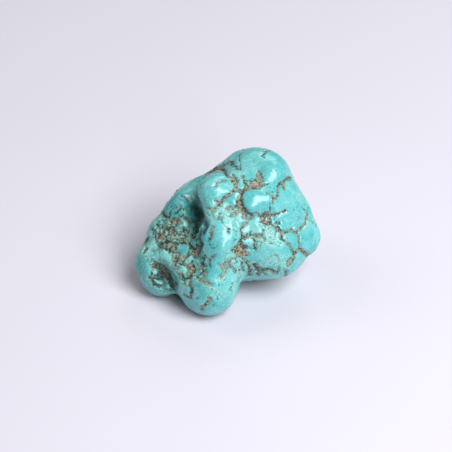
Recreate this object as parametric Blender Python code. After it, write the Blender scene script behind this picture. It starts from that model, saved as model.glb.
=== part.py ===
"""A tumbled turquoise nugget: one solid stone with lumps, a ridge, ledges, a cleft and a pit.

Metres, +Z up. The origin lies on the plane that the stone rests on, under the middle of its box.
The stone is a smooth union of lumps. A lump is a ball, or a tapering bar with two round ends, and
it melts into its neighbours over its own blend width. A cleft, a pit and a dent are then worn out of
the union, and the stone is cut off level where it rests.
"""
import bmesh
import bpy
import numpy as np
from mathutils import Vector

# Driving dimensions
STONE_LENGTH = 0.050        # the stone's longest side, along X
GRID_LENGTH = 50.0          # the lumps are laid out on a grid with this many units along that side
UNIT = STONE_LENGTH / GRID_LENGTH

# Surface
FACET_SIZES = (1.5, 1.3, 1.24)  # grid units: one net after another, each closer to the surface
BALL_SUBDIVISIONS = 3       # roundness of the balls that the first net is laid over
RELAX_ROUNDS = 3            # how often each net is evened out and drawn back to the surface
SNAP_STEPS = 6              # steps that draw a point onto the surface
SLOPE_STEP = 0.02           # grid units, for the surface's slope
LEAST_STEEPNESS = 0.25      # keeps a step short in a crease, where the slope is small
REST_EDGE = 0.6             # grid units: how softly a resting flat turns up into the stone
LEVEL_BELOW = 0.15          # grid units: points lower than this lie on a resting flat

# Finish
TURQUOISE = (0.105, 0.545, 0.545, 1.0)
POLISH_ROUGHNESS = 0.28

# Every lump: its two ends as (x, y, z, radius), then its blend width, in grid units.
LUMPS = {
    "core": ((6, 5, 14.3, 14.5), (0.5, 2, 12.3, 12), 3),
    "belly": ((7.5, -1, 10.3, 8.5), (11, -1, 11.3, 9), 4),
    "crown": ((7.5, 10.5, 25.3, 8.5), (6.5, 11, 24.3, 9), 4),
    "crown_skirt": ((10.5, 8.5, 26.8, 5.5), (9.5, 4.5, 25.3, 5.5), 3),
    "left_knob": ((-2.5, 1.5, 27.3, 5.5), (1, 2, 26.3, 6), 4),
    "front_ridge": ((-1, -1, 23.3, 5.5), (-2, -7.5, 19, 5.8), 5),
    "front_wall": ((-2, -7.5, 19, 5.8), (-3.5, -11.5, 9.8, 6), 4),
    "front_foot": ((-5.5, -11.5, 8, 6), (-4.2, -13.8, 6, 5.9), 5),
    "foot_shoulder": ((-9.5, -11, 7.8, 5), (-7.5, -12.5, 6.8, 6), 5),
    "face": ((7, -1, 18.3, 7.5), (4, -4.5, 14.3, 6.5), 4),
    "left_foot": ((-19.5, -4.5, 7.6, 5.5), (-18, -6.5, 5.8, 6.3), 3),
    "left_side": ((-15.5, 0.5, 13.3, 6.5), (-12.5, -5, 11.3, 7), 4),
    "left_bump": ((-11, 4, 19.8, 5.2), (-12.5, 3.5, 18.8, 5), 2.5),
    "back_shoulder": ((-8, 9.5, 17.8, 6.5), (-1, 11, 19.8, 7.5), 4),
    "centre_bump": ((6.5, -0.5, 26.3, 5), (8.5, 0, 26.3, 5), 1.5),
    "right_bump": ((14.5, 3.5, 21.8, 6.5), (16, 2.5, 19.8, 6.5), 2.5),
    "right_corner": ((18, -1, 13.3, 5.5), (20, -0.5, 13.8, 5), 4),
    "right_front": ((13, -4.5, 13.8, 7), (9.5, -5, 15.8, 7), 3),
    "back_ridge": ((12, 10.5, 20.8, 6), (2, 12.5, 9.8, 6.5), 4),
    "back_knob": ((-9, 8.5, 12.8, 5.5), (-11, 5.5, 8.8, 5), 4),
    "back_foot": ((3, 9.5, 5.4, 5.5), (8, 7.5, 5, 5), 4),
}

# Every hollow, in the same way: the blend width rounds its rim.
HOLLOWS = {
    "cleft_mouth": ((-9, 1.5, 27, 2), (-7.2, -5.5, 20, 1.4), 3),
    "cleft_floor": ((-9, 2.6, 25.8, 2), (-7.3, -3.6, 19.2, 1.7), 3),
    "pit": ((-18.5, -11, 11.5, 2.6), (-15.5, -13, 9, 2.4), 1.2),
    "back_dent": ((-3, 20.5, 21.8, 3.5), (-6, 19, 16.8, 3), 6),
}


def bar_distance(points, end_a, end_b):
    """Distance from each point to a tapering bar with two round ends."""
    start = np.array(end_a[:3], dtype=float)
    axis = np.array(end_b[:3], dtype=float) - start
    along = np.clip((points - start) @ axis / (axis @ axis), 0.0, 1.0)
    nearest = start + along[:, None] * axis
    radius = end_a[3] + along * (end_b[3] - end_a[3])
    return np.linalg.norm(points - nearest, axis=1) - radius


def smooth_union(first, second, blend):
    """The lesser of two distances, rounded over the blend width where they are close."""
    overlap = np.maximum(blend - np.abs(first - second), 0.0) / blend
    return np.minimum(first, second) - overlap * overlap * blend / 4.0


def smooth_cut(solid, cutter, blend):
    """The distance to a solid with the cutter taken away, its rim rounded."""
    return -smooth_union(-solid, cutter, blend)


def stone_distance(points):
    """Distance to the stone's surface in grid units, negative inside."""
    distance = np.full(len(points), 1.0e3)
    for end_a, end_b, blend in LUMPS.values():
        distance = smooth_union(distance, bar_distance(points, end_a, end_b), blend)
    for end_a, end_b, blend in HOLLOWS.values():
        distance = smooth_cut(distance, bar_distance(points, end_a, end_b), blend)
    return smooth_cut(distance, points[:, 2], REST_EDGE)


def draw_to_surface(points):
    """Move points along the slope of the distance until they lie on the stone's surface."""
    for _ in range(SNAP_STEPS):
        distance = stone_distance(points)
        slope = np.zeros_like(points)
        for axis in range(3):
            step = np.zeros(3)
            step[axis] = SLOPE_STEP
            slope[:, axis] = stone_distance(points + step) - stone_distance(points - step)
        slope /= 2.0 * SLOPE_STEP
        steepness = np.maximum((slope * slope).sum(axis=1), LEAST_STEEPNESS)
        points = points - slope * (distance / steepness)[:, None]
    return points


def clear_scene():
    for item in list(bpy.data.objects):
        bpy.data.objects.remove(item, do_unlink=True)


def lump_hulls():
    """A mesh of every lump's plain skin: the hull of the balls at its two ends."""
    mesh = bpy.data.meshes.new("lumps")
    combined = bmesh.new()
    for end_a, end_b, _ in LUMPS.values():
        lump = bmesh.new()
        for x, y, z, radius in (end_a, end_b):
            ball = bmesh.ops.create_icosphere(lump, subdivisions=BALL_SUBDIVISIONS, radius=radius)
            bmesh.ops.translate(lump, verts=ball["verts"], vec=Vector((x, y, z)))
        hull = bmesh.ops.convex_hull(lump, input=lump.verts)
        loose = {item for item in hull["geom_interior"] if isinstance(item, bmesh.types.BMVert)}
        bmesh.ops.delete(lump, geom=list(loose), context="VERTS")
        piece = bpy.data.meshes.new("lump")
        lump.to_mesh(piece)
        lump.free()
        combined.from_mesh(piece)
        bpy.data.meshes.remove(piece)
    combined.to_mesh(mesh)
    combined.free()
    return mesh


def even_net(mesh, facet_size):
    """A new closed mesh of even facets over the outside of a mesh."""
    carrier = bpy.data.objects.new("net", mesh)
    bpy.context.scene.collection.objects.link(carrier)
    remesh = carrier.modifiers.new("net", "REMESH")
    remesh.mode = "VOXEL"
    remesh.voxel_size = facet_size
    graph = bpy.context.evaluated_depsgraph_get()
    net = bpy.data.meshes.new_from_object(carrier.evaluated_get(graph))
    bpy.data.objects.remove(carrier, do_unlink=True)
    return net


def relax_onto_stone(mesh):
    """Even out the facets while keeping every point on the stone's surface."""
    net = bmesh.new()
    net.from_mesh(mesh)
    for _ in range(RELAX_ROUNDS):
        bmesh.ops.smooth_vert(net, verts=net.verts, factor=0.5,
                              use_axis_x=True, use_axis_y=True, use_axis_z=True)
        points = draw_to_surface(np.array([vert.co for vert in net.verts]))
        for vert, point in zip(net.verts, points):
            vert.co = point
    net.to_mesh(mesh)
    net.free()


def level_rests(mesh):
    """Flatten what reaches the resting plane, so that each foot ends in a true flat."""
    for vert in mesh.vertices:
        if vert.co.z < LEVEL_BELOW:
            vert.co.z = 0.0


def centre_and_scale(mesh):
    """Grid units to metres, with the origin under the middle of the box."""
    points = np.array([vert.co for vert in mesh.vertices])
    low = points.min(axis=0)
    high = points.max(axis=0)
    middle = Vector(((low[0] + high[0]) / 2.0, (low[1] + high[1]) / 2.0, low[2]))
    for vert in mesh.vertices:
        vert.co = (vert.co - middle) * UNIT


def stone_material():
    material = bpy.data.materials.new("turquoise")
    material.use_nodes = True
    shader = material.node_tree.nodes["Principled BSDF"]
    shader.inputs["Base Color"].default_value = TURQUOISE
    shader.inputs["Roughness"].default_value = POLISH_ROUGHNESS
    shader.inputs["Metallic"].default_value = 0.0
    material.diffuse_color = TURQUOISE
    return material


def build_nugget():
    mesh = lump_hulls()
    for facet_size in FACET_SIZES:
        mesh = even_net(mesh, facet_size)
        relax_onto_stone(mesh)
    level_rests(mesh)
    centre_and_scale(mesh)
    mesh.name = "nugget"
    mesh.materials.clear()
    mesh.materials.append(stone_material())
    nugget = bpy.data.objects.new("nugget", mesh)
    bpy.context.scene.collection.objects.link(nugget)
    mesh.shade_smooth()
    return nugget


clear_scene()
build_nugget()
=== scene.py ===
import itertools
import math

import bpy
import numpy as np
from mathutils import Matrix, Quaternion, Vector, noise
from mathutils.bvhtree import BVHTree


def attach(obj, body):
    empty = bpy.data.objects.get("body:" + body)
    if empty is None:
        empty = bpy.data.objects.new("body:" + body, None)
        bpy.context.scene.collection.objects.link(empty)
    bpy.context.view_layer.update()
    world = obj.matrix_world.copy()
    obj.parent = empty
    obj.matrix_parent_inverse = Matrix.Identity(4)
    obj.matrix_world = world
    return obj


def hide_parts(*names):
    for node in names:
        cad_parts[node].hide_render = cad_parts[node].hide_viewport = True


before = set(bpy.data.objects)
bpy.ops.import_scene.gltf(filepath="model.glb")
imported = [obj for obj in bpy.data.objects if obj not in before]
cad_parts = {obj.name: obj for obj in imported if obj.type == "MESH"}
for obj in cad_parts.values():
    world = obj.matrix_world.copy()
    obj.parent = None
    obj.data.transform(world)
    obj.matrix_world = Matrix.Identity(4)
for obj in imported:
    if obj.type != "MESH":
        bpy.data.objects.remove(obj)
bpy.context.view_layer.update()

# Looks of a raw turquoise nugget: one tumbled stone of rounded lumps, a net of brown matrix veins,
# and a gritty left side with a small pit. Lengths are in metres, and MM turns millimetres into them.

MM = 0.001

# ---- Camera: where the picture is taken from ----
PICTURE = 452                          # px, each side
AIM = Vector((0.0, -0.0025, 0.0178))   # the point of the stone that the camera is aimed at
AIM_PIXEL = (228.0, 231.0)             # px, where that point shows in the picture
RISE = math.radians(40)                # height of the camera above the horizon
DISTANCE = 0.40
LENS, SENSOR = 120.0, 36.0             # mm
PIXEL = SENSOR / LENS / PICTURE        # tangent of one pixel's angle
BACK = Vector((0, -math.cos(RISE), math.sin(RISE)))
RIGHT = Vector((1, 0, 0))
UP = Vector((0, math.sin(RISE), math.cos(RISE)))
EYE = AIM + BACK * DISTANCE

# ---- Mesh ----
NET = 0.29 * MM         # edge length of the fine net
SMOOTHING = 3           # rounds of smoothing after the net is made
STEP = 0.5              # px between the points of a drawn vein
REACH = 2.5 * MM        # how far from a vein its distance is still measured

# ---- Veins: half width in mm, darkness from 0 (sandy) to 1 (nearly black), route in picture px ----
VEINS = {
    # round the left knob and under the crown
    "knob_back": (0.42, 0.75, ((214, 167), (219, 168), (223, 169.5), (226, 173), (228.5, 175.8), (231, 176.5))),
    "shoulder_strip": (0.45, 0.55, ((205, 173), (212, 170), (219, 167), (224, 164.5), (227, 162))),
    "knob_node": (0.55, 0.30, ((231.5, 177), (233.8, 179.5), (235, 182.5), (235.5, 185))),
    "knob_node_edge": (0.18, 0.95, ((232, 173.5), (233.5, 175.5), (236, 177), (237.3, 179), (237.2, 181.5))),
    "knob_node_side": (0.15, 0.95, ((231.8, 180), (232.8, 182.5), (235, 185))),
    "node_tail": (0.28, 0.50, ((235.5, 185), (236, 187.5), (237, 190))),
    "shelf_left": (0.36, 0.45, ((232, 191), (234, 189.8), (237, 189.5), (240, 190.2), (242.5, 191), (246, 189))),
    "shelf_mid": (0.48, 0.40, ((245, 188.5), (249, 187.8), (253, 187.5), (257, 187), (260, 185.5))),
    "shelf_top": (0.34, 0.35, ((247, 185.5), (252, 185.5), (257, 184.5))),
    "finger": (0.36, 0.40, ((243.2, 175.5), (243.8, 178.5), (245, 181.5), (246, 184.5), (246.5, 187.5))),
    "finger_edge": (0.14, 0.90, ((244.5, 176.5), (245.8, 179.5), (248.5, 180.3))),
    "crown_patch": (0.52, 0.25, ((258.2, 173), (258.2, 176), (258.5, 179.5), (258.5, 183))),
    "crown_patch_low": (0.62, 0.20, ((252, 182.5), (255.5, 182.2), (259, 182.5))),
    "crown_patch_edge": (0.16, 0.85, ((257.5, 171), (260.3, 173.5), (261.8, 177.5), (262.6, 181.5), (261.5, 185), (259, 188))),
    "crown_patch_lip": (0.14, 0.80, ((250, 181), (252.5, 180), (254.5, 179))),
    "crown_left": (0.20, 0.85, ((228.5, 161.5), (231, 161.3), (233, 163), (234.2, 165.3), (237, 166.8), (240, 168.8))),
    "crown_left_fill": (0.36, 0.50, ((229, 163.2), (231.5, 163.8))),
    "crown_crack_foot": (0.30, 0.30, ((236.5, 168), (239.5, 168.7))),
    "crown_top": (0.26, 0.50, ((270, 149.8), (267.5, 150.5), (265.3, 151), (264, 153))),
    "knob_stripe": (0.34, 0.35, ((232, 191), (231, 193.5), (228.5, 195), (226, 196.5), (224, 199), (222, 201.5), (220, 203.5))),
    "knob_front": (0.30, 0.30, ((219, 205), (217, 207), (214.5, 209), (212, 210.5), (209.5, 209.5), (207.5, 208))),
    "knob_front_branch": (0.22, 0.35, ((218.5, 203), (216.5, 201.5), (215.3, 200))),
    "knob_left": (0.24, 0.30, ((214.5, 186), (217.5, 183.5), (221, 181.5), (224.5, 180))),

    # between the lobes in the middle
    "lobe_arc": (0.34, 1.00, ((243, 190.5), (241.6, 195), (240.6, 199), (240.9, 203), (242.8, 207), (245.3, 210.5), (248, 213.5), (251.5, 214.7))),
    "lobe_arc_sand": (0.34, 0.20, ((240, 194.5), (238.8, 199), (238.8, 203), (240.5, 207.5), (243, 211), (245, 214))),
    "middle_node": (0.52, 0.55, ((237, 201.5), (238.5, 204), (237, 206.5))),
    "middle_west": (0.30, 0.40, ((236, 206.3), (233, 207.2), (230, 207.8), (227.5, 208.8))),
    "middle_sand": (0.42, 0.25, ((239, 208.5), (242, 211.5), (244, 214.5), (244.7, 217.5))),
    "middle_sand_west": (0.26, 0.20, ((240, 211), (237, 212.2), (234, 213.5), (231.5, 215))),
    "middle_sand_east": (0.26, 0.15, ((245.5, 219), (248.5, 219.5), (251, 218), (253.5, 216.3))),
    "lobe_foot": (0.22, 0.60, ((251.5, 214.7), (254, 214), (257, 213.6), (259, 215.3), (261, 217))),
    "patch_red": (0.78, 0.60, ((263.3, 219), (265, 221.5), (267.5, 222.5), (270, 222.5))),
    "patch_red_edge": (0.15, 1.00, ((260.3, 217.5), (261.5, 220.5), (264, 223.5), (267, 224.3))),
    "patch_dark": (0.50, 0.75, ((262.5, 216.5), (265.5, 215.8), (269, 216.5), (270, 219))),
    "patch_east": (0.34, 0.60, ((265, 213.3), (269, 213.8), (272.5, 215), (276, 214.8))),
    "diagonal": (0.15, 0.95, ((274.5, 218.3), (277, 215.8), (279.5, 213.3), (282.5, 211.8), (284.5, 211.2))),
    "lobe_split": (0.13, 0.90, ((270.5, 208.5), (270, 211), (269.3, 214))),
    "right_vein": (0.38, 0.50, ((270.5, 222.5), (273.5, 225), (276.5, 227.5), (279, 230), (282, 231.8), (285.5, 232))),
    "right_vein_edge": (0.20, 1.00, ((277.5, 224.5), (279, 227), (281.3, 229.8), (283, 231))),
    "cell_left": (0.22, 0.60, ((244, 224), (242.8, 227), (241.8, 230), (241.6, 233.5))),
    "cell_left_sand": (0.26, 0.10, ((245.5, 223), (244, 226), (243, 229))),
    "cell_foot": (0.40, 0.80, ((242.3, 235), (244, 236.8), (246, 236.3))),
    "cell_foot_mid": (0.24, 0.70, ((246, 236.3), (248.3, 236.8), (250.5, 235.5))),
    "cell_foot_east": (0.34, 0.35, ((253, 236), (256, 236.3), (259, 235.3), (262, 234))),
    "cell_crack": (0.12, 1.00, ((250.6, 231.5), (250.3, 235.5), (251.5, 238.5))),
    "cell_tail": (0.28, 0.80, ((252.5, 235.5), (253.3, 239), (254.3, 242.5), (254.2, 246.5), (255.2, 249))),
    "cell_tail_sand": (0.22, 0.10, ((256, 243), (256.3, 246), (256.8, 248.3))),

    # right lobes
    "crown_right": (0.36, 0.50, ((291.5, 177.3), (288.5, 178), (286, 179.7), (284, 182.3), (283.8, 185.5), (284.5, 188))),
    "crown_right_low": (0.34, 0.50, ((283, 182.5), (280.5, 183.8), (278.6, 186), (278.8, 189), (277.8, 192), (278, 195), (276.3, 198.5))),
    "crown_right_dark": (0.18, 1.00, ((281, 183), (279, 184.3), (278, 185.8))),
    "lobe_gap": (0.42, 0.25, ((272.5, 196.5), (274, 199), (273.5, 202))),
    "saddle": (0.28, 0.45, ((285.5, 232), (288, 230.8), (290.5, 230), (292.3, 229.5))),
    "saddle_node": (0.36, 0.45, ((292, 230.5), (294.5, 231.5), (297, 232.3))),
    "right_long": (0.30, 0.45, ((297, 232.3), (298.8, 235), (299.6, 239), (300, 243.5), (299.7, 248.5))),
    "right_up": (0.32, 0.40, ((297, 231), (299.5, 229), (302, 227.3), (304.3, 225), (305.8, 222), (306.5, 218.5), (308, 215), (308.3, 212))),
    "ledge_patch": (0.46, 0.50, ((282.3, 233), (282.3, 236), (281.8, 238.5))),
    "ledge_vein": (0.24, 0.45, ((282.5, 239.5), (285.5, 241), (288, 243.5), (290.3, 246.5), (292, 250), (294, 252.5))),
    "ledge_node": (0.34, 0.20, ((290.8, 248.3), (291.6, 249.6))),
    "low_node": (0.42, 0.45, ((294, 253.5), (296.3, 252.3), (299, 250.3))),
    "low_east": (0.44, 0.40, ((300, 249.8), (303, 251.3), (305.5, 253), (307, 255.3), (309.3, 255.8))),
    "low_west": (0.32, 0.45, ((294.3, 255), (292, 257.5), (290, 260), (288.3, 262.5))),
    "low_west_node": (0.46, 0.25, ((288, 263), (288.3, 265.5))),
    "low_spur": (0.24, 0.55, ((294.5, 255), (294.3, 258), (292.5, 262))),

    # lower front
    "front_apex": (0.44, 0.65, ((240.8, 240.5), (240.3, 243.5), (241, 246.5))),
    "front_left": (0.46, 0.55, ((240, 245.5), (237, 247.5), (234.3, 249.3), (232.5, 250.5))),
    "front_body": (0.72, 0.38, ((236.5, 250.5), (240, 249.8), (243, 252))),
    "front_body_low": (0.55, 0.38, ((237.5, 253.5), (241, 254.3), (244, 254))),
    "front_right": (0.20, 0.80, ((242, 245), (245, 246.5), (248, 247.5), (250.3, 248.8))),
    "front_right_low": (0.30, 0.65, ((243, 251), (245.5, 252.5), (247.5, 254.5), (248, 256.3))),
    "front_crease": (0.10, 1.00, ((236.5, 248.5), (238.5, 250.3), (241.5, 250.5), (244.5, 252))),
    "front_tail": (0.36, 0.22, ((238, 256), (236, 258.3), (232.8, 259.5), (230.3, 261.5), (229.5, 264.5))),
    "front_tail_east": (0.36, 0.35, ((241.3, 256), (242.6, 258.5), (244.8, 260.5), (246.5, 262))),
    "front_drip": (0.14, 1.00, ((242, 261.5), (242.4, 265), (242.8, 268.5), (244, 271.5))),
    "belly_vein": (0.34, 0.70, ((254, 265), (255.2, 267.8), (257.8, 269.8), (258.8, 272.5), (257.5, 275.8))),
    "belly_east": (0.28, 0.75, ((257.8, 268), (260.5, 269.3), (263, 270.3), (266.5, 269.6), (270, 270), (273, 271.3), (276.3, 272.5))),
    "belly_east_end": (0.14, 0.80, ((276.3, 272.5), (278.3, 270.5), (279, 268))),
    "belly_west": (0.30, 0.55, ((251, 271.5), (249.8, 274), (247.8, 276.3))),
    "front_loop": (0.24, 0.45, ((229.5, 264.5), (231.5, 267.5), (234, 269.5), (236, 272))),
    "front_shade": (0.50, 0.85, ((241, 242), (242.5, 245.5), (245, 248.5))),
    "front_mid": (0.18, 0.70, ((246.5, 262), (247.3, 265.5), (249.3, 268.5), (249, 271.5))),
    "apron": (0.48, 0.30, ((222, 267.5), (224.8, 268.8), (226.5, 267.5))),
    "apron_low": (0.30, 0.20, ((225.3, 273), (223.8, 275.5), (222.5, 277.8))),
    "belly_node": (0.52, 0.60, ((254.5, 265.5), (255.5, 268.3), (258, 270.5))),
    "belly_strip": (0.42, 0.55, ((264.5, 269.8), (267.5, 269.6), (271, 270))),
    "belly_low": (0.34, 0.45, ((259, 273.5), (262, 272.8), (265, 274.5))),
    "belly_west_low": (0.40, 0.40, ((251, 270.5), (249, 273), (250.5, 275.5))),
    "right_patch": (0.48, 0.25, ((289.3, 262), (288.8, 265.5))),
    "right_patch_low": (0.30, 0.25, ((284.5, 271), (286.5, 273.5))),
    "cell_foot_sand": (0.46, 0.25, ((255.5, 236), (258.5, 236.5), (261, 235.3))),
    "cell_foot_dark": (0.50, 0.95, ((243, 237.3), (245.5, 237.5), (247, 236))),
    "underside": (0.26, 0.60, ((286.5, 271.5), (286, 274.5), (286.6, 277))),

    # ridge and foot
    "ridge_node": (0.38, 0.55, ((229, 228), (229.3, 230.8))),
    "knob_drop": (0.52, 0.40, ((219.5, 203.7), (220.3, 204.6))),
    "ridge_streak": (0.36, 0.45, ((211.8, 227.5), (211.3, 231), (211.3, 234.5), (209.8, 238), (208.3, 241))),
    "ridge_streak_sand": (0.20, 0.10, ((213.2, 227.5), (209.8, 231.5), (209.8, 234))),
    "foot_branch": (0.17, 0.25, ((214.5, 255.5), (212, 257.2), (209.8, 259.5), (207, 261.5))),
    "heel_sand": (0.62, 0.35, ((189.5, 265), (190.8, 268.3), (190.5, 271.8))),
    "heel_edge": (0.20, 0.95, ((193.3, 264), (193.9, 268), (193.8, 272))),
    "heel_low": (0.36, 0.25, ((189, 273.5), (186.5, 274.5))),
    "foot_sand": (0.34, 0.28, ((196.3, 275), (198, 278.5), (201, 281), (204.5, 283), (208.5, 284), (212, 285))),
    "foot_sand_up": (0.34, 0.30, ((205, 270.5), (205.3, 274), (204.5, 278))),
    "foot_sand_top": (0.24, 0.50, ((201, 264.5), (199.8, 267.5), (197.5, 269.8))),
    "foot_drop": (0.40, 0.55, ((190, 281.5), (189.3, 285), (190.2, 289), (190.8, 293), (190.2, 297.5))),
    "foot_drop_edge": (0.15, 1.00, ((191.8, 286), (192.3, 290), (192.2, 294.5))),
    "foot_drop_west": (0.22, 0.50, ((189, 297.8), (186, 296.3), (183.5, 294.5))),
    "toe": (0.30, 0.45, ((209.2, 298), (208.8, 300.5), (207.3, 303.2))),
    "toe_low": (0.42, 0.45, ((207, 304), (204.5, 306), (202.5, 308), (201, 310))),

    # left bump and the gritty side
    "bump_top": (0.26, 0.50, ((180.5, 195), (183.5, 195.8), (186.5, 197.8), (189, 201))),
    "bump_left": (0.40, 0.75, ((162.5, 212), (163.8, 215.5), (166.5, 217), (169, 216.5))),
    "bump_foot": (0.36, 0.65, ((168, 222), (171.5, 221.3), (173.8, 219), (176, 220.3), (178, 222.5), (180.5, 223.6))),
    "bump_foot_east": (0.32, 0.55, ((181, 219.5), (184, 217.8), (187.3, 218.8), (190.5, 220.3))),
    "grit_west": (0.34, 0.60, ((163.3, 228.5), (162.3, 231.5), (163.3, 235.5))),
    "grit_bow": (0.40, 0.60, ((164, 242.5), (165.5, 246), (167.5, 249.3), (171, 250.8), (174.8, 250.8))),
    "grit_bow_top": (0.26, 0.50, ((166, 241), (169.5, 242), (172, 244.5))),
    "crescent": (0.34, 1.00, ((189.2, 242.8), (190.5, 246.3), (193.3, 248.7), (196.3, 247.8), (198.3, 245), (201.8, 243.8))),
    "crescent_fill": (0.80, 0.55, ((193.5, 252), (195.3, 254.3), (196.3, 250))),
    "grit_low": (0.32, 0.35, ((183, 256.5), (186, 255.5), (189.5, 254))),
    "grit_low_west": (0.34, 0.35, ((179, 258.5), (177.5, 260.5))),
    "pit_rim": (0.34, 0.12, ((151.5, 265.5), (152.8, 268.5), (152, 271.5))),
    "pit_band": (0.85, 0.70, ((156, 265.5), (161, 267.5), (165, 271.5), (167.5, 276.5))),
    "pit_band_low": (0.55, 0.95, ((168.5, 279), (171, 283), (172, 288))),
    "pit_hole": (0.42, 1.00, ((155.3, 284), (156.5, 286.5))),
    "pit_line": (0.15, 1.00, ((151, 279), (153, 277), (157, 277.3))),
    "pit_line_right": (0.16, 1.00, ((160.5, 275), (162.8, 279), (164.3, 283), (163, 285), (159.5, 284.5))),
    "bump_patch": (0.50, 0.45, ((168.5, 222.5), (171.5, 222.8), (175, 222.3))),
    "grit_line": (0.22, 0.60, ((162.3, 226), (163.5, 229.5), (163.3, 233.5))),
    "left_rim": (0.34, 0.80, ((139.5, 248.5), (142.3, 244.8), (145.5, 240.8), (148, 237))),
    "left_rim_up": (0.28, 0.60, ((150.5, 228), (152.5, 230.5), (152, 233.8))),
    "left_rim_low": (0.26, 0.60, ((153.5, 236.5), (155.3, 239.3))),
}

# Single spots of matrix: place in picture px, radius in mm, darkness
SPOTS = (
    (285, 211.2, 0.34, 0.90), (277.3, 222.5, 0.34, 1.00), (279.6, 222.8, 0.32, 1.00), (278.5, 227, 0.26, 1.00),
    (235.2, 240, 0.26, 0.90), (254.3, 249.5, 0.22, 0.95), (299.5, 249.2, 0.20, 1.00), (301.7, 249.6, 0.18, 1.00),
    (285, 261.5, 0.20, 0.90), (292.6, 262.6, 0.22, 1.00), (239.5, 270.3, 0.20, 0.90), (242.8, 268.8, 0.24, 0.80),
    (212.6, 258.2, 0.18, 1.00), (194.3, 257, 0.38, 1.00), (163.6, 235.6, 0.26, 1.00), (171.5, 206.5, 0.15, 0.90),
    (173.8, 206.5, 0.13, 0.90), (181, 206, 0.26, 0.60), (179.3, 208.3, 0.18, 1.00), (183.4, 209.3, 0.18, 1.00),
    (178.8, 211, 0.15, 1.00), (176.7, 212.8, 0.22, 1.00), (168.3, 249.8, 0.18, 1.00), (267.7, 193, 0.22, 0.50),
    (274.6, 254.6, 0.13, 0.90), (268.6, 258.4, 0.12, 0.90), (266, 259.4, 0.12, 0.90), (245.5, 165.6, 0.13, 0.80),
    (276.6, 169.5, 0.13, 0.70), (265.7, 178.6, 0.13, 0.90), (252, 159.6, 0.11, 0.70), (293.4, 226.6, 0.13, 0.80),
    (291.2, 224.4, 0.11, 0.70), (197.6, 234.3, 0.22, 0.95), (245.4, 235.8, 0.20, 1.00), (155.6, 239, 0.18, 0.95),
    (196.8, 298.3, 0.17, 0.95), (199, 297.6, 0.13, 0.95), (213, 306, 0.16, 0.95), (211.3, 308, 0.11, 0.90),
    (214.6, 304.6, 0.11, 0.90), (217.3, 297, 0.11, 0.80), (209.3, 294, 0.11, 0.80), (184.3, 295.3, 0.17, 0.80),
    (229, 261, 0.12, 0.60), (223.5, 252, 0.10, 0.50), (216.3, 254, 0.14, 0.70), (262.4, 155.6, 0.18, 0.90),
)

PINHOLE = 0.15   # mm, spots no larger than this are dark pinholes

# Hairline cracks, dark teal: half width in mm, route in picture px
CRACKS = {
    "crown": (0.13, ((240.6, 153.5), (239, 156.3), (238.8, 158.8), (240, 161), (240.3, 164.5), (240, 168.5))),
    "crown_top": (0.14, ((264, 153), (262.6, 155), (263, 156.8), (265.3, 157.5))),
    "node": (0.13, ((235.5, 180), (238, 180), (240, 180.2))),
    "ridge": (0.15, ((220.5, 218.5), (222.3, 221.3), (224, 224.2), (226.3, 225.3), (227.8, 227.3))),
    "ridge_east": (0.12, ((232.8, 229.2), (235.3, 230.3), (237.5, 231.5), (239.5, 231))),
    "ring_west": (0.09, ((209.5, 244), (210.3, 247), (212, 248.8), (214, 247.8), (216.3, 246), (216.7, 243.5))),
    "ring_top": (0.12, ((213.3, 242.7), (212.3, 244.5))),
    "cliff": (0.17, ((201, 247), (202.3, 251), (204.3, 255), (206.8, 258), (208.8, 260), (209, 263.5), (210, 267))),
    "cliff_top": (0.20, ((198.5, 239), (199, 242.5), (200.3, 246))),
    "foot": (0.10, ((211.8, 289.5), (213.2, 292.5), (213.8, 295.5))),
    "foot_low": (0.12, ((217.4, 297), (217.6, 299.5))),
    "toe": (0.10, ((209.8, 298), (212.3, 300), (213.6, 303.2))),
    "lobe_side": (0.10, ((270, 203), (269.6, 206), (270.5, 208.8))),
    "bump": (0.20, ((174.5, 214), (176.5, 212), (179, 210), (181, 207.3), (179.3, 205.3))),
    "bump_east": (0.16, ((181, 207.3), (183.5, 208.8), (186, 208.3), (188, 210))),
    "bump_west": (0.17, ((168.5, 214.8), (170.3, 212), (171.5, 209), (170.3, 206.3))),
    "bump_low": (0.14, ((176.5, 212), (177.5, 215), (181, 216.5), (184, 214.5))),
    "bump_side": (0.13, ((171.5, 209), (174.3, 208.3), (176, 205))),
    "right_shoulder": (0.16, ((301.8, 207), (303.3, 208.8), (305.3, 210.5))),
    "belly": (0.12, ((256, 262), (257.5, 264.5), (258, 267))),
}

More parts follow.
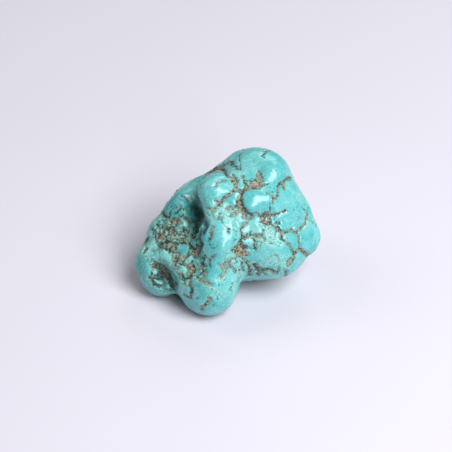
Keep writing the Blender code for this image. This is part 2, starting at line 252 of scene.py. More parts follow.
# Soft stains where the matrix lies just under the skin: radius in mm, strength, route in picture px
STAINS = {
    "crown_teal": (0.9, 0.55, ((262.5, 184), (266.5, 184.5))),
    "lobe_gap": (0.9, 0.50, ((271, 196), (273, 200))),
    "green_spot": (0.7, 0.50, ((308.5, 219.5), (309.5, 220.5))),
    "right_rim": (0.9, 0.55, ((308, 215), (311, 219.5), (313.5, 222), (316, 224.5))),
    "right_spot": (0.6, 0.55, ((298.5, 217.5), (299.5, 219))),
    "middle_west": (0.9, 0.50, ((231, 208), (226, 209.5))),
    "middle_south": (0.9, 0.45, ((219, 213), (218, 217.5))),
    "middle_pink": (0.8, 0.40, ((225, 213.5), (229, 214))),
    "ridge_east": (1.0, 0.45, ((237.5, 227), (239.5, 230))),
    "red_rim": (1.2, 0.45, ((262, 225), (268, 226.5), (273, 228))),
    "under_red": (1.2, 0.35, ((262, 231), (268, 232.5), (275, 232))),
    "pale_ledge": (1.3, 0.35, ((264, 240), (270, 240.5), (276, 239.5))),
    "front_apron": (1.4, 0.45, ((226, 264), (223, 268.5), (224, 274), (222.5, 278))),
    "front_apron_top": (1.0, 0.45, ((218.5, 265), (221.5, 268.5))),
    "front_pink": (0.6, 0.35, ((226, 257.5), (226.5, 260))),
    "foot_edge": (0.9, 0.45, ((232, 285), (231.6, 289), (232.4, 293))),
    "toe_edge": (0.8, 0.45, ((231.3, 305), (229.8, 308.5))),
    "belly_edge": (1.0, 0.40, ((239, 273), (240, 278.5), (238.6, 281))),
    "belly_sand": (0.7, 0.55, ((272, 272.5), (276.5, 274))),
    "right_low": (0.8, 0.45, ((276.5, 256.5), (278, 260))),
    "low_green": (0.9, 0.50, ((293, 256.5), (294, 259.5))),
    "knob_side": (0.9, 0.35, ((222, 180), (225, 178.5))),
    "ledge_left": (1.2, 0.50, ((157, 243), (160, 247), (158, 250))),
    "grit_wide": (2.2, 0.50, ((158, 236), (168, 240), (180, 238), (190, 234))),
    "grit_wide_low": (1.8, 0.50, ((172, 250), (178, 258), (176, 266), (180, 275))),
    "heel_wide": (1.4, 0.40, ((186, 262), (190, 268), (186, 275))),
    "cliff_foot": (1.5, 0.45, ((200, 262), (203, 272), (206, 282))),
}

# Painted shade in the cleft beside the knob, along its left flank and in the pit; the same places are also sunk into
# the surface and made duller: radius in mm, strength, route in picture px
PAINTED_SHADES = {
    "cleft_top": (0.7, 0.15, ((189, 199), (192, 204), (195, 209))),
    "cleft": (1.2, 0.60, ((194, 208), (199, 214), (203, 220))),
    "cleft_foot": (0.7, 0.70, ((204.5, 222), (205, 227), (203, 232))),
    "cleft_wall": (1.5, 0.35, ((193, 212), (196, 219), (199, 226))),
    "cleft_low": (0.7, 0.75, ((200, 230), (198.5, 237), (199.5, 244), (198, 251))),
    "behind_knob": (1.1, 0.20, ((211, 172), (204, 177), (197, 184), (195, 193), (197, 203))),
    "behind_stripe": (0.35, 0.25, ((196.5, 184), (195.5, 190), (196, 196))),
    "knob_flank": (0.5, 0.20, ((207, 178), (202.5, 184), (201.5, 192), (202.5, 200), (205, 208))),
    "pit_band": (0.95, 0.28, ((155, 266), (161, 268.5), (165, 273), (167, 277))),
    "pit_inside": (2.2, 0.22, ((157, 277), (163, 281), (168, 285))),
    "pit_right": (0.6, 0.35, ((170, 279), (173, 284), (173, 289))),
    "pit_foot": (0.7, 0.45, ((170, 291), (175, 292))),
}

# Parts of the seen side that are broken up into small round grains: radius in mm, route in picture px
GRITTY = {
    "side": (3.0, ((160, 229), (168, 230), (179, 230), (191, 230))),
    "side_low": (2.6, ((164, 243), (172, 246), (184, 245), (194, 246))),
    "bump_foot": (1.4, ((170, 223), (182, 223), (192, 225))),
    "heel": (1.8, ((178, 262), (184, 263), (190, 268), (184, 276))),
    "pit": (2.4, ((157, 279), (165, 280), (170, 284))),
    "cliff": (1.0, ((202, 259), (204, 266), (201, 275))),
}

# Smooth cells that stay whole inside the gritty parts: radius in mm, paleness, route in picture px. The paleness is
# partly the cells' chalky colour, partly painted light
WHOLE = {
    "ledge": (0.9, 0.85, ((144, 250), (150, 246.5), (155, 243))),
    "big_cell": (1.3, 0.85, ((163, 255), (168, 256.5))),
    "upper_cell": (0.6, 0.60, ((160.5, 238.5), (163, 239.5))),
    "heel_cell": (0.9, 0.90, ((182.5, 269), (184, 271))),
    "heel_cell_top": (0.7, 0.80, ((187, 260.5), (190, 258.5))),
    "green_cell": (1.1, 0.00, ((180, 251), (184, 249.5))),
    "round_cell": (0.9, 0.00, ((192.5, 241.5), (193.5, 243))),
    "cliff_cell": (0.8, 0.00, ((207, 250), (210, 254.5))),
    "bump_cell": (0.8, 0.10, ((183.5, 222), (186, 223.5))),
    "pit_grain": (0.6, 0.75, ((155.5, 272.5),)),
    "pit_slab": (0.6, 0.25, ((155.5, 281), (161, 281.3))),
    "pit_slab_low": (0.5, 0.00, ((166.5, 283.5), (168.5, 288))),
    "pit_slab_side": (0.7, 0.00, ((172.5, 276), (174, 279.5))),
}

# Where the turquoise is darker: a deeper tone in the green and round cells, painted shade on the left bump, the left
# lobe, the cliff left of the ridge, the foot's left side and the middle below the knob: radius in mm, route in picture
# px
DEEP_TONES_AND_SHADE = {
    "left_bump": (2.8, ((170, 207), (178, 209), (186, 212))),
    "left_lobe": (1.6, ((140, 262), (140, 270))),
    "left_shadow": (1.6, ((198, 254), (203, 264), (201, 276))),
    "green_cell": (1.2, ((180, 251), (184, 249.5))),
    "round_cell": (1.0, ((193, 242),)),
    "foot_left": (1.0, ((198, 284), (204, 295))),
    "middle": (0.9, ((231, 211), (238, 216))),
}

# Where a fine net of cracks shows through the skin: radius in mm, strength, route in picture px
CRAZED = {
    "left_bump": (2.0, 0.7, ((171, 208), (178, 209), (185, 211))),
    "left_edge": (1.8, 0.8, ((157, 222), (153, 232), (148, 242))),
    "ledge": (2.6, 1.0, ((146, 254), (156, 257), (168, 264), (176, 268))),
    "left_lobe": (1.8, 0.7, ((139, 264), (141, 274), (145, 281))),
    "lobe_foot": (1.4, 0.9, ((148, 283), (158, 291), (168, 290))),
    "heel": (2.2, 0.9, ((184, 280), (194, 276), (200, 266), (204, 258))),
    "middle": (2.2, 0.8, ((212, 214), (222, 212), (232, 214))),
    "front": (2.4, 1.0, ((232, 258), (240, 266), (250, 268), (262, 272))),
    "pale_ledge": (2.0, 0.8, ((260, 240), (270, 241), (280, 240))),
    "right_low": (2.2, 0.7, ((274, 260), (286, 264))),
    "foot": (1.8, 0.6, ((212, 292), (220, 296))),
    "foot_side": (1.4, 0.5, ((196, 284), (202, 290))),
    "under_shelf": (1.4, 0.7, ((262, 230), (270, 232))),
    "crown_foot": (1.6, 0.6, ((232, 170), (240, 175), (238, 184))),
}

# Gentle rises (+) and falls (-) of the surface: height in mm, spread in mm, place in picture px
SWELLS = {
    "knob_side": (0.90, 2.0, (202, 190)),
    "knob_dome": (0.55, 2.4, (212, 186)),
    "crown_right": (0.60, 3.4, (284, 158)),
    "crown_front": (1.10, 2.4, (274, 173)),
    "knob_stripe": (-0.60, 1.3, (226, 200)),
    "right_lobe": (0.45, 2.2, (283, 203)),
    "knob_lip": (0.95, 1.5, (210, 206)),
    "knob_top": (-0.75, 1.6, (229, 182)),
    "lobe_lip": (0.70, 1.4, (250, 209)),
    "ridge_lip": (0.50, 1.8, (222, 249)),
    "ridge_low": (0.45, 1.6, (214, 262)),
    "belly_under": (0.70, 2.2, (262, 282)),
    "right_notch": (-0.60, 1.2, (308, 211)),
    "cleft": (-0.60, 1.1, (200, 215)),
    "cleft_foot": (-0.90, 1.0, (204, 225)),
    "pit": (-0.90, 1.4, (163, 276)),
    "centre_top": (-0.70, 1.5, (263, 187)),
    "right_shoulder": (-0.75, 3.0, (304, 200)),
    "belly_low": (0.80, 3.4, (286, 271)),
    "left_edge": (0.55, 3.0, (138, 260)),
    "left_lobe_low": (-1.10, 3.0, (148, 288)),
    "foot_low": (-0.80, 2.4, (186, 304)),
}

# ---- Hidden sides: a net of veins like the one that is seen ----
HIDDEN_CELL = 6.4 * MM
HIDDEN_HALF_WIDTH = 0.20 * MM
GRAIN_CELL = 1.60 * MM
GRAIN_RADIUS = 0.98 * MM
CRAZE_CELL = 1.35 * MM
SEEDS = {"hidden": 11, "grains": 23, "crazes": 37}


def smooth_step(low, high, value):
    """0 below low, 1 above high, with soft ends between."""
    share = np.clip((value - low) / (high - low), 0, 1)
    return share * share * (3 - 2 * share)


def mottling(points, size, octaves=2, offset=0.0):
    """Smooth noise from about -1 to 1 whose lumps are `size` across."""
    spots = points / size + offset
    return np.array([noise.fractal(p, 1.0, 2.0, octaves) for p in spots])


def drifted(points, size, amount, offset=0.0):
    """The points pushed about by smooth noise, so that what is measured from them has ragged edges."""
    spots = points / size + offset
    return points + amount * np.array([noise.noise_vector(p) for p in spots])


def cell_walls(points, spacing, seed):
    """How far each point is from the nearest wall between cells grown from scattered seeds, and from its seed."""
    low = points.min(0) - 2 * spacing
    counts = np.ceil((points.max(0) - low) / spacing).astype(int) + 4
    scatter = np.random.default_rng(seed).random((*counts, 3))
    home = np.floor((points - low) / spacing).astype(int)
    around = np.array(list(itertools.product((-1, 0, 1), repeat=3)))
    boxes = home[:, None] + around
    seeds = low + (boxes + scatter[tuple(np.moveaxis(boxes, 2, 0))]) * spacing
    squares = ((seeds - points[:, None]) ** 2).sum(2)
    own = squares.argmin(1)
    rows = np.arange(len(points))
    between = np.linalg.norm(seeds - seeds[rows, own][:, None], axis=2)
    between[rows, own] = 1.0
    walls = (squares - squares[rows, own][:, None]) / (2 * between)
    walls[rows, own] = 1.0
    return walls.min(1), np.sqrt(squares.min(1))


class Net:
    """The fine net of the stone: points, faces, and what is measured on them."""

    def __init__(self, mesh):
        self.points = np.zeros(len(mesh.vertices) * 3)
        mesh.vertices.foreach_get("co", self.points)
        self.points = self.points.reshape(-1, 3)
        self.faces = [tuple(p.vertices) for p in mesh.polygons]
        edges = np.zeros(len(mesh.edges) * 2, int)
        mesh.edges.foreach_get("vertices", edges)
        edges = edges.reshape(-1, 2)
        self.ends = np.concatenate([edges, edges[:, ::-1]])
        self.valence = np.bincount(self.ends[:, 0], minlength=len(self.points))

    def blurred(self, values, rounds):
        """The values averaged with their neighbours' for some rounds."""
        for _ in range(rounds):
            columns = np.atleast_2d(values.T)
            sums = [np.bincount(self.ends[:, 0], column[self.ends[:, 1]]) for column in columns]
            means = (np.array(sums) / self.valence).T.reshape(values.shape)
            values = (values + means) / 2
        return values

    def normals(self):
        """Outward unit normals at the points."""
        quads = np.array(self.faces)
        corners = self.points[quads]
        across = np.cross(corners[:, 2] - corners[:, 0], corners[:, 3] - corners[:, 1])
        total = np.zeros_like(self.points)
        for corner in range(4):
            np.add.at(total, quads[:, corner], across)
        return total / np.linalg.norm(total, axis=1)[:, None]


def fine_net(node):
    """The CAD solid rounded off and netted evenly with small quads."""
    source = bpy.data.objects.new("net_source", node.data.copy())
    bpy.context.scene.collection.objects.link(source)
    weld = source.modifiers.new("weld", "WELD")
    weld.merge_threshold = 0.01 * MM
    rounding = source.modifiers.new("rounding", "SUBSURF")
    rounding.levels = rounding.render_levels = 2
    remesh = source.modifiers.new("remesh", "REMESH")
    remesh.mode = "VOXEL"
    remesh.voxel_size = NET
    view = bpy.context.evaluated_depsgraph_get()
    mesh = bpy.data.meshes.new_from_object(source.evaluated_get(view))
    bpy.data.objects.remove(source)
    net = Net(mesh)
    net.points = net.blurred(net.points, SMOOTHING)
    return net


def smooth_route(pins):
    """Points every STEP px along a smooth curve through the given ones."""
    pins = np.array(pins, float)
    if len(pins) == 1:
        return pins
    ends = np.concatenate([2 * pins[:1] - pins[1:2], pins, 2 * pins[-1:] - pins[-2:-1]])
    route = []
    for a, b, c, d in zip(ends, ends[1:], ends[2:], ends[3:]):
        count = max(2, round(float(np.linalg.norm(c - b)) / STEP))
        for t in np.arange(count) / count:
            route.append(((2 * b) + (c - a) * t + (2 * a - 5 * b + 4 * c - d) * t**2
                          + (3 * b - a - 3 * c + d) * t**3) / 2)
    route.append(pins[-1])
    return np.array(route)


def on_stone(pins, tree):
    """The points of the stone that show along a route of picture px."""
    found = []
    for x, y in smooth_route(pins):
        ray = -BACK + RIGHT * ((x - AIM_PIXEL[0]) * PIXEL) + UP * ((AIM_PIXEL[1] - y) * PIXEL)
        hit = tree.ray_cast(EYE, ray.normalized())[0]
        if hit is None:
            hit = tree.find_nearest(EYE + ray * DISTANCE)[0]
        found.append(hit)
    return np.array(found)


def depth_inside(points, half_width, places):
    """Which points lie near the places, and how deep inside a band of that half width they are."""
    near = ((points > places.min(0) - REACH - half_width)
            & (points < places.max(0) + REACH + half_width)).all(1)
    near = np.flatnonzero(near)
    gaps = np.full(len(near), np.inf)
    for place in places:
        gaps = np.minimum(gaps, ((points[near] - place) ** 2).sum(1))
    return near, half_width - np.sqrt(gaps)


def soft_zone(points, zones, tree, soft=1.0 * MM):
    """1 inside the zones, falling to 0 across their soft edges."""
    zone = np.zeros(len(points))
    for radius, pins in zones.values():
        near, inside = depth_inside(points, radius * MM, on_stone(pins, tree))
        zone[near] = np.maximum(zone[near], smooth_step(-soft, soft, inside))
    return zone


def seen_share(net, normals, tree):
    """1 where the picture shows the surface well, 0 where it is hidden, blurred over the border."""
    to_eye = np.array(EYE) - net.points
    to_eye /= np.linalg.norm(to_eye, axis=1)[:, None]
    facing = (normals * to_eye).sum(1)
    open_view = np.zeros(len(facing))
    for i in np.flatnonzero(facing > 0.02):
        start = Vector(net.points[i] + normals[i] * 0.5 * MM)
        open_view[i] = tree.ray_cast(start, Vector(to_eye[i]))[0] is None
    return net.blurred(open_view * smooth_step(0.04, 0.25, facing), 12)


def measure_marks(net, normals, tree):
    """What the looks need at each point: depths inside veins and cracks in mm, and shares from 0 to 1."""
    points = net.points
    ragged = drifted(drifted(points, 1.6 * MM, 0.16 * MM), 0.7 * MM, 0.12 * MM, 7.3)
    count = len(points)
    vein, dark = np.full(count, -3 * MM), np.full(count, 0.5)
    crack, stain = np.full(count, -3 * MM), np.zeros(count)

    strokes = [(half, tone, route) for half, tone, route in VEINS.values()]
    strokes += [(half, tone, ((x, y),)) for x, y, half, tone in SPOTS if half > PINHOLE]
    tone_sum, tone_weight = np.full(count, 0.5e-6), np.full(count, 1e-6)
    for half, tone, route in strokes:
        near, inside = depth_inside(ragged, half * MM, on_stone(route, tree))
        vein[near] = np.maximum(vein[near], inside)
        weight = np.exp(np.clip(inside, -3 * MM, 1 * MM) / (0.07 * MM)) * (1 + 3 * tone)
        tone_sum[near] += weight * tone
        tone_weight[near] += weight
    dark = tone_sum / tone_weight
    pinholes = [(half, ((x, y),)) for x, y, half, tone in SPOTS if half <= PINHOLE]
    for half, route in [*CRACKS.values(), *pinholes]:
        near, inside = depth_inside(ragged, half * MM, on_stone(route, tree))
        crack[near] = np.maximum(crack[near], inside)
    for radius, strength, route in STAINS.values():
        near, inside = depth_inside(ragged, radius * MM, on_stone(route, tree))
        spread = strength * smooth_step(-0.5 * MM, 0.9 * MM, inside)
        stain[near] = np.maximum(stain[near], spread)

    # Painted shade in the deep places; the relief also sinks them and the material dulls them
    shade = np.zeros(count)
    for radius, strength, route in PAINTED_SHADES.values():
        near, inside = depth_inside(ragged, radius * MM, on_stone(route, tree))
        shade[near] = np.maximum(shade[near], strength * smooth_step(-1.0 * MM, 0.8 * MM, inside))
    blots = (1.42 * stain - 0.80 + 0.50 * mottling(points, 1.4 * MM, 3, 1.9)) * MM
    dark = np.where(blots > vein, np.clip(0.35 + 0.6 * mottling(points, 2 * MM, 2, 3.3), 0, 1), dark)
    vein = np.maximum(vein, blots)

    seen = seen_share(net, normals, tree)
    gritty = soft_zone(points, GRITTY, tree)
    whole, pale = np.zeros(count), np.zeros(count)
    for radius, paleness, route in WHOLE.values():
        near, inside = depth_inside(ragged, radius * MM, on_stone(route, tree))
        cell = smooth_step(-0.25 * MM, 0.25 * MM, inside)
        whole[near] = np.maximum(whole[near], cell)
        pale[near] = np.maximum(pale[near], paleness * cell)
    gritty *= 1 - whole
    # Darker zones: a deeper tone in some cells, painted shade in the rest
    deep_tone_and_shade = soft_zone(points, DEEP_TONES_AND_SHADE, tree, 2.0 * MM)
    left_back = smooth_step(2 * MM, -9 * MM, points[:, 0]) * smooth_step(-0.1, 0.35, mottling(points, 14 * MM, 2, 3.1))
    gritty = np.maximum(gritty, left_back * (1 - seen) * 0.9)

    drift = drifted(points, 5 * MM, 1.3 * MM, 1.7)
    walls = cell_walls(drift, HIDDEN_CELL, SEEDS["hidden"])[0]
    swell = mottling(points, 6 * MM, 3, 5.2)
    half_width = HIDDEN_HALF_WIDTH + 0.45 * MM * swell - 2.5 * MM * smooth_step(0.15, 0.6, seen)
    jag = 0.10 * MM * mottling(points, 0.8 * MM, 2, 9.4)
    vein = np.maximum(vein, half_width - walls + jag)
    dark = np.where(seen < 0.4, np.clip(0.5 + 0.5 * mottling(points, 4 * MM, 2, 2.2), 0, 1), dark)

    crazed = np.zeros(count)
    for radius, strength, route in CRAZED.values():
        near, inside = depth_inside(points, radius * MM, on_stone(route, tree))
        crazed[near] = np.maximum(crazed[near], strength * smooth_step(-1.0 * MM, 1.0 * MM, inside))
    hidden_patches = smooth_step(0.05, 0.35, mottling(points, 9 * MM, 2, 7.1)) * (1 - seen)
    crazed = np.maximum(crazed, 0.9 * hidden_patches) * (1 - 0.9 * whole)
    craze_walls = cell_walls(drifted(points, 1.2 * MM, 0.45 * MM, 2.7), CRAZE_CELL, SEEDS["crazes"])[0]
    craze_half = 0.15 * crazed - 0.14 + 0.20 * mottling(points, 1.6 * MM, 2, 4.9) * crazed - 0.3 * (crazed < 0.05)
    craze = craze_half * MM - craze_walls

    grain_walls, grain_middle = cell_walls(drifted(points, 1.5 * MM, 0.30 * MM, 4.4), GRAIN_CELL, SEEDS["grains"])
    grain_gap = (0.04 + 0.16 * mottling(points, 2.2 * MM, 2, 8.8)) * MM
    grain_inside = np.minimum(grain_walls - grain_gap, GRAIN_RADIUS - grain_middle)
    gap_inside = np.where(gritty > 0.2, 0.5 * jag - grain_inside - 0.6 * MM * smooth_step(0.8, 0.2, gritty), -3 * MM)
    gap_dark = np.clip(0.95 + 0.5 * mottling(points, 2.5 * MM, 2, 6.6), 0.3, 1)
    dark = np.where(gap_inside > vein, gap_dark, dark)
    vein = np.maximum(vein, gap_inside)

    return {"vein": vein / MM, "dark": dark, "crack": crack / MM, "stain": stain, "gritty": gritty,
            "grain_inside": grain_inside / MM, "shade": shade, "pale": pale, "deep_tone_and_shade": deep_tone_and_shade,
            "crazed": crazed, "craze": craze / MM}


def swelled(net, tree):
    """The net's points moved in and out by the gentle rises and falls."""
    rise = np.zeros(len(net.points))
    for height, spread, place in SWELLS.values():
        gap = np.linalg.norm(net.points - on_stone((place,), tree)[0], axis=1) / MM
        rise += height * np.exp(-((gap / spread) ** 2) / 2)
    return net.points + net.normals() * (rise * MM)[:, None]


def relief(points, marks):
    """How far each point stands out (+) or lies back (-), in mm."""
    skin = 0.06 * mottling(points, 5.5 * MM, 1, 0.7) + 0.012 * mottling(points, 1.9 * MM, 1, 3.9)
    groove = -0.20 * smooth_step(-0.50, 0.15, marks["vein"])
    pillow = -0.12 * smooth_step(-1.8, 0.1, marks["vein"])
    shade = -0.60 * marks["shade"]
    crack = -0.12 * smooth_step(-0.25, 0.05, np.maximum(marks["crack"], marks["craze"]))
    crumble = 0.07 * smooth_step(-0.1, 0.3, marks["vein"]) * mottling(points, 0.75 * MM, 2, 5.5)
    grains = marks["gritty"] * (0.42 * smooth_step(-0.3, 0.5, marks["grain_inside"]) - 0.26)
    grit = marks["gritty"] * 0.08 * mottling(points, 1.0 * MM, 2, 2.9)
    return skin + groove + pillow + shade + crack + crumble + grains + grit


def hollowness(net, normals):
    """How far each point lies in a hollow, from 0 to 1: below the blurred surface round it."""
    blurred = net.blurred(net.points, 40)
    depth = ((blurred - net.points) * normals).sum(1)
    return smooth_step(0.02 * MM, 0.30 * MM, depth)


def build_stone(node):
    """The finished stone: net, relief and the marks that its material reads."""
    net = fine_net(node)
    net.points = swelled(net, BVHTree.FromPolygons(net.points.tolist(), net.faces))
    tree = BVHTree.FromPolygons(net.points.tolist(), net.faces)
    normals = net.normals()
    marks = measure_marks(net, normals, tree)
    net.points = net.points + normals * (relief(net.points, marks) * MM)[:, None]
    net.points[:, 2] = np.maximum(net.points[:, 2], 0.0)
    # How far each point lies in a hollow; the material paints shade there
    marks["hollow"] = hollowness(net, net.normals())

    mesh = bpy.data.meshes.new("turquoise_nugget")
    mesh.from_pydata(net.points.tolist(), [], net.faces)
    mesh.shade_smooth()
    for name, values in marks.items():
        layer = mesh.attributes.new(name, "FLOAT", "POINT")
        layer.data.foreach_set("value", values.astype(np.float32))
    stone = bpy.data.objects.new("turquoise_nugget", mesh)
    bpy.context.scene.collection.objects.link(stone)
    return stone


# ---- Materials ----
class Shader:
    """A material's node tree, with short ways to add nodes to it."""

    def __init__(self, name):
        self.material = bpy.data.materials.new(name)
        self.material.use_nodes = True
        self.tree = self.material.node_tree
        self.surface = self.tree.nodes["Principled BSDF"]
        self.place = self.add("ShaderNodeTexCoord").outputs["Object"]

    def add(self, kind, inputs=(), **settings):
        """A new node; an input is a value or another node's output."""
        made = self.tree.nodes.new(kind)
        for name, value in settings.items():
            setattr(made, name, value)
        for name, value in dict(inputs).items():
            if isinstance(value, bpy.types.NodeSocket):
                self.tree.links.new(value, made.inputs[name])
            else:
                made.inputs[name].default_value = value
        return made

    def mark(self, name):
        """One of the numbers kept at the stone's points."""
        return self.add("ShaderNodeAttribute", attribute_name=name).outputs["Fac"]

    def math(self, operation, *values):
        return self.add("ShaderNodeMath", dict(enumerate(values)), operation=operation).outputs[0]

    def between(self, value, low, high, start=0.0, end=1.0):
        """start where the value is low, end where it is high, soft between."""
        inputs = {"Value": value, "From Min": low, "From Max": high, "To Min": start, "To Max": end}
        return self.add("ShaderNodeMapRange", inputs, interpolation_type="SMOOTHSTEP").outputs["Result"]

    def noise(self, size, detail=2.0, roughness=0.5, shift=0.0):
        """Noise from 0 to 1 with lumps about `size` metres across."""
        moved = self.add("ShaderNodeVectorMath", {0: self.place, 1: (shift, shift, shift)}).outputs["Vector"]
        inputs = {"Vector": moved, "Scale": 1 / size, "Detail": detail, "Roughness": roughness}
        return self.add("ShaderNodeTexNoise", inputs).outputs["Fac"]

    def mix(self, share, first, second):
        """first where share is 0, second where it is 1."""
        inputs = {"Factor": share, 6: first, 7: second}
        return self.add("ShaderNodeMix", inputs, data_type="RGBA").outputs[2]

    def scaled(self, colour, factor):
        """The colour made brighter or darker."""
        return self.add("ShaderNodeVectorMath", {0: colour, "Scale": factor}, operation="SCALE").outputs[0]

    def put(self, socket, value):
        if isinstance(value, bpy.types.NodeSocket):
            self.tree.links.new(value, self.surface.inputs[socket])
        else:
            self.surface.inputs[socket].default_value = value


BLUE = (0.092, 0.450, 0.468, 1)
DEEP = (0.060, 0.355, 0.365, 1)
PALE = (0.180, 0.540, 0.535, 1)
WORN = (0.260, 0.700, 0.640, 1)
SPECK = (0.430, 0.640, 0.560, 1)
GREEN = (0.070, 0.290, 0.232, 1)
MOSS = (0.050, 0.170, 0.130, 1)
CHALKY_AND_LIT = (0.320, 0.800, 0.710, 1)
DEEP_TEAL = (0.030, 0.300, 0.310, 1)
TEAL_SHADE = (0.030, 0.140, 0.130, 1)
HAIRLINE = (0.012, 0.060, 0.062, 1)
CRAZE = (0.035, 0.105, 0.085, 1)
SHADE_BLACK = (0.006, 0.013, 0.015, 1)
SAND = (0.365, 0.310, 0.215, 1)
BROWN = (0.148, 0.105, 0.064, 1)
DARK = (0.022, 0.021, 0.018, 1)
OLIVE = (0.160, 0.230, 0.160, 1)


def turquoise_colour(shader):
    """Blue-green with paler and deeper clouds, mossy where it is stained, greener where it is gritty, darker with
    painted shade in some listed zones, and paler in the whole cells, partly as painted light.
    """
    clouds = shader.between(shader.noise(7 * MM, 3.0, 0.55), 0.35, 0.68)
    body = shader.mix(clouds, BLUE, PALE)
    pools = shader.between(shader.noise(3.2 * MM, 3.0, 0.6, 0.31), 0.50, 0.72, 0.0, 0.55)
    body = shader.mix(pools, body, DEEP)
    green = shader.between(shader.noise(2.5 * MM, 2.0, 0.5, 0.7), 0.3, 0.6, 0.45, 1.0)
    body = shader.mix(shader.math("MULTIPLY", shader.mark("gritty"), green), body, GREEN)
    # Pale cells: partly chalky colour, partly painted light
    body = shader.mix(shader.math("MULTIPLY", shader.mark("pale"), 0.8), body, CHALKY_AND_LIT)

    worn = shader.math("MAXIMUM", shader.mark("stain"), shader.math("MULTIPLY", shader.mark("crazed"), 0.8))
    body = shader.mix(shader.math("MULTIPLY", worn, 0.6), body, WORN)
    moss = shader.between(shader.noise(0.75 * MM, 4.0, 0.7, 0.19), 0.48, 0.60)
    body = shader.mix(shader.math("MULTIPLY", shader.math("MULTIPLY", worn, moss), 0.50), body, MOSS)
    olive = shader.between(shader.noise(0.9 * MM, 4.0, 0.7, 0.23), 0.48, 0.62)
    body = shader.mix(shader.math("MULTIPLY", shader.math("MULTIPLY", worn, olive), 0.36), body, OLIVE)

    # Darker teal in the listed zones: a deeper tone in some cells, painted shade in the rest
    body = shader.mix(shader.math("MULTIPLY", shader.mark("deep_tone_and_shade"), 0.85), body, DEEP_TEAL)
    speckled = shader.math("MAXIMUM", worn, shader.math("MULTIPLY", shader.mark("gritty"), 0.45))
    specks = shader.between(shader.noise(0.66 * MM, 3.0, 0.7, 0.41), 0.50, 0.66)
    body = shader.mix(shader.math("MULTIPLY", specks, shader.between(speckled, 0.0, 1.0, 0.08, 0.65)), body, SPECK)

    flecks = shader.between(shader.noise(0.62 * MM, 1.0, 0.5, 0.17), 0.66, 0.74)
    flecked = shader.between(shader.noise(4 * MM, 2.0, 0.5, 0.59), 0.46, 0.60, 0.15, 0.85)
    body = shader.mix(shader.math("MULTIPLY", flecks, flecked), body, HAIRLINE)
    return shader.scaled(body, shader.between(shader.noise(0.55 * MM, 2.0, 0.6, 0.29), 0.3, 0.7, 0.88, 1.12))


def matrix_colour(shader, vein):
    """Sandy to nearly black rock, grainy, with specks of green."""
    grain = shader.noise(0.55 * MM, 2.0, 0.6, 0.53)
    lumps = shader.noise(1.3 * MM, 3.0, 0.6, 0.91)
    tone = shader.math("ADD", shader.mark("dark"), shader.between(lumps, 0.3, 0.7, -0.30, 0.30))
    tone = shader.math("ADD", tone, shader.between(grain, 0.3, 0.7, -0.62, 0.62))
    tone = shader.math("ADD", tone, shader.between(vein, 0.0, 0.30, 0.40, 0.0))
    warm = shader.mix(shader.between(tone, 0.05, 0.60), SAND, BROWN)
    green = shader.between(shader.noise(0.60 * MM, 2.0, 0.6, 0.37), 0.46, 0.60, 0.0, 0.80)
    warm = shader.mix(green, warm, OLIVE)
    return shader.mix(shader.between(tone, 0.62, 0.98), warm, DARK)


def with_painted_shade(shader, colour):
    """The colour sunk into dark teal and then near-black as painted shade where the shade mark is high, with a grainy
    edge.
    """
    grain = shader.between(shader.noise(0.9 * MM, 4.0, 0.7, 0.67), 0.3, 0.7, -0.22, 0.22)
    shade = shader.mark("shade")
    depth = shader.math("ADD", shade, shader.math("MULTIPLY", grain, shader.between(shade, 0.02, 0.30)))
    colour = shader.mix(shader.between(depth, 0.05, 0.60, 0.0, 0.85), colour, TEAL_SHADE)
    return shader.mix(shader.between(depth, 0.45, 0.95, 0.0, 0.96), colour, SHADE_BLACK)


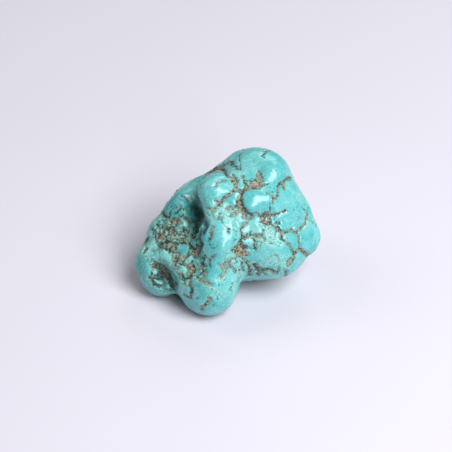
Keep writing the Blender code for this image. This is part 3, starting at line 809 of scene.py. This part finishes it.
def stone_material():
    """Waxy polished turquoise and duller, rougher matrix, told apart by the marks at the points."""
    shader = Shader("turquoise_stone")
    fray = shader.between(shader.noise(0.55 * MM, 4.0, 0.7, 0.11), 0.30, 0.70, -0.34, 0.34)
    vein = shader.math("ADD", shader.mark("vein"), fray)
    crack = shader.math("ADD", shader.mark("crack"), shader.math("MULTIPLY", fray, 0.45))

    body = turquoise_colour(shader)
    fringe = shader.math("MULTIPLY", shader.between(vein, -0.75, 0.0), shader.between(shader.noise(1.4 * MM, 3.0, 0.6, 0.83), 0.4, 0.6))
    body = shader.mix(shader.math("MULTIPLY", fringe, 0.44), body, OLIVE)
    # Darker teal rim along the veins: partly the matrix's own dark edge, partly painted shade of the groove
    body = shader.mix(shader.between(vein, -0.32, 0.02, 0.0, 0.36), body, TEAL_SHADE)
    craze = shader.math("ADD", shader.mark("craze"), shader.math("MULTIPLY", fray, 0.45))
    body = shader.mix(shader.between(craze, -0.08, 0.08, 0.0, 0.78), body, CRAZE)
    body = shader.mix(shader.between(crack, -0.10, 0.05, 0.0, 0.90), body, HAIRLINE)
    # Painted shade in hollows and creases
    body = shader.mix(shader.math("MULTIPLY", shader.mark("hollow"), 0.42), body, TEAL_SHADE)
    cover = shader.between(vein, -0.08, 0.08)
    # Painted shade laid over the finished colour in the deep places
    colour = with_painted_shade(shader, shader.mix(cover, body, matrix_colour(shader, vein)))
    shader.put("Base Color", colour)

    polish = shader.between(shader.noise(2.4 * MM, 2.0, 0.5, 0.43), 0.3, 0.7, 0.17, 0.27)
    dull = shader.math("MAXIMUM", cover, shader.math("MULTIPLY", shader.mark("gritty"), 0.5))
    dull = shader.math("MAXIMUM", dull, shader.math("MULTIPLY", shader.mark("crazed"), 0.70))
    dull = shader.math("MAXIMUM", dull, shader.mark("shade"))
    inputs = {0: dull, 2: polish, 3: 0.60}
    shader.put("Roughness", shader.add("ShaderNodeMix", inputs).outputs[0])
    shader.put("IOR", 1.55)

    grain = shader.noise(0.50 * MM, 3.0, 0.6, 0.77)
    height = shader.math("MULTIPLY", grain, shader.between(dull, 0.0, 1.0, 0.12, 1.0))
    bump = shader.add("ShaderNodeBump", {"Height": height, "Strength": 0.8, "Distance": 0.10 * MM})
    shader.put("Normal", bump.outputs["Normal"])
    return shader.material


def paper_material():
    """Smooth pale lavender-white paper under the stone."""
    shader = Shader("paper")
    tint = shader.between(shader.noise(0.05, 2.0), 0.3, 0.7)
    shader.put("Base Color", shader.mix(tint, (0.650, 0.634, 0.712, 1), (0.656, 0.640, 0.718, 1)))
    shader.put("Roughness", 0.8)
    return shader.material


# ---- Set ----
FLOOR_SIDE = 6.0
LIGHTS = {
    "key_box": {"place": (0.340, -0.265, 0.567), "size": (0.40, 0.50), "power": 6.4, "lean": 0},
    "front_strip": {"place": (0.222, -0.550, 0.386), "size": (0.07, 0.32), "power": 0.85, "lean": -15},
    "back_left": {"place": (-0.490, 0.178, 0.483), "size": (0.40, 0.30), "power": 0.9, "lean": 0},
    "back_right": {"place": (0.178, 0.490, 0.483), "size": (0.40, 0.30), "power": 0.9, "lean": 0},
}
SKY = 0.10


def add_light(name, place, size, power, lean):
    """A soft rectangular light aimed at the stone's middle, turned by `lean` degrees in its own plane."""
    light = bpy.data.lights.new(name, "AREA")
    light.shape = "RECTANGLE"
    light.size, light.size_y = size
    light.energy = power
    lamp = bpy.data.objects.new(name, light)
    bpy.context.scene.collection.objects.link(lamp)
    lamp.location = place
    aimed = (Vector(place) - Vector((0, 0, 0.015))).to_track_quat("Z", "Y")
    lamp.rotation_euler = (aimed @ Quaternion((0, 0, 1), math.radians(lean))).to_euler()


def add_floor():
    """A wide plain floor at the stone's foot."""
    half = FLOOR_SIDE / 2
    mesh = bpy.data.meshes.new("floor")
    mesh.from_pydata([(-half, -half, 0), (half, -half, 0), (half, half, 0), (-half, half, 0)], [], [(0, 1, 2, 3)])
    mesh.materials.append(paper_material())
    floor = bpy.data.objects.new("floor", mesh)
    bpy.context.scene.collection.objects.link(floor)


def add_camera():
    """A long lens looking down at the stone; the shift puts the aimed point on its pixel."""
    camera = bpy.data.objects.new("camera", bpy.data.cameras.new("camera"))
    bpy.context.scene.collection.objects.link(camera)
    camera.location = EYE
    camera.rotation_euler = BACK.to_track_quat("Z", "Y").to_euler()
    camera.data.lens, camera.data.sensor_width = LENS, SENSOR
    camera.data.shift_x = (PICTURE / 2 - AIM_PIXEL[0]) / PICTURE
    camera.data.shift_y = (AIM_PIXEL[1] - PICTURE / 2) / PICTURE
    bpy.context.scene.camera = camera


def add_sky():
    """Even white light from all round, as in a light tent."""
    world = bpy.data.worlds.new("light_tent")
    world.use_nodes = True
    backdrop = world.node_tree.nodes["Background"]
    backdrop.inputs["Color"].default_value = (1, 1, 1, 1)
    backdrop.inputs["Strength"].default_value = SKY
    bpy.context.scene.world = world


add_camera()
add_floor()
add_sky()
for name, light in LIGHTS.items():
    add_light(name, **light)
bpy.context.scene.view_settings.view_transform = "Standard"

stone = build_stone(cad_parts["nugget"])
stone.data.materials.append(stone_material())
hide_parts("nugget")
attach(stone, "root")
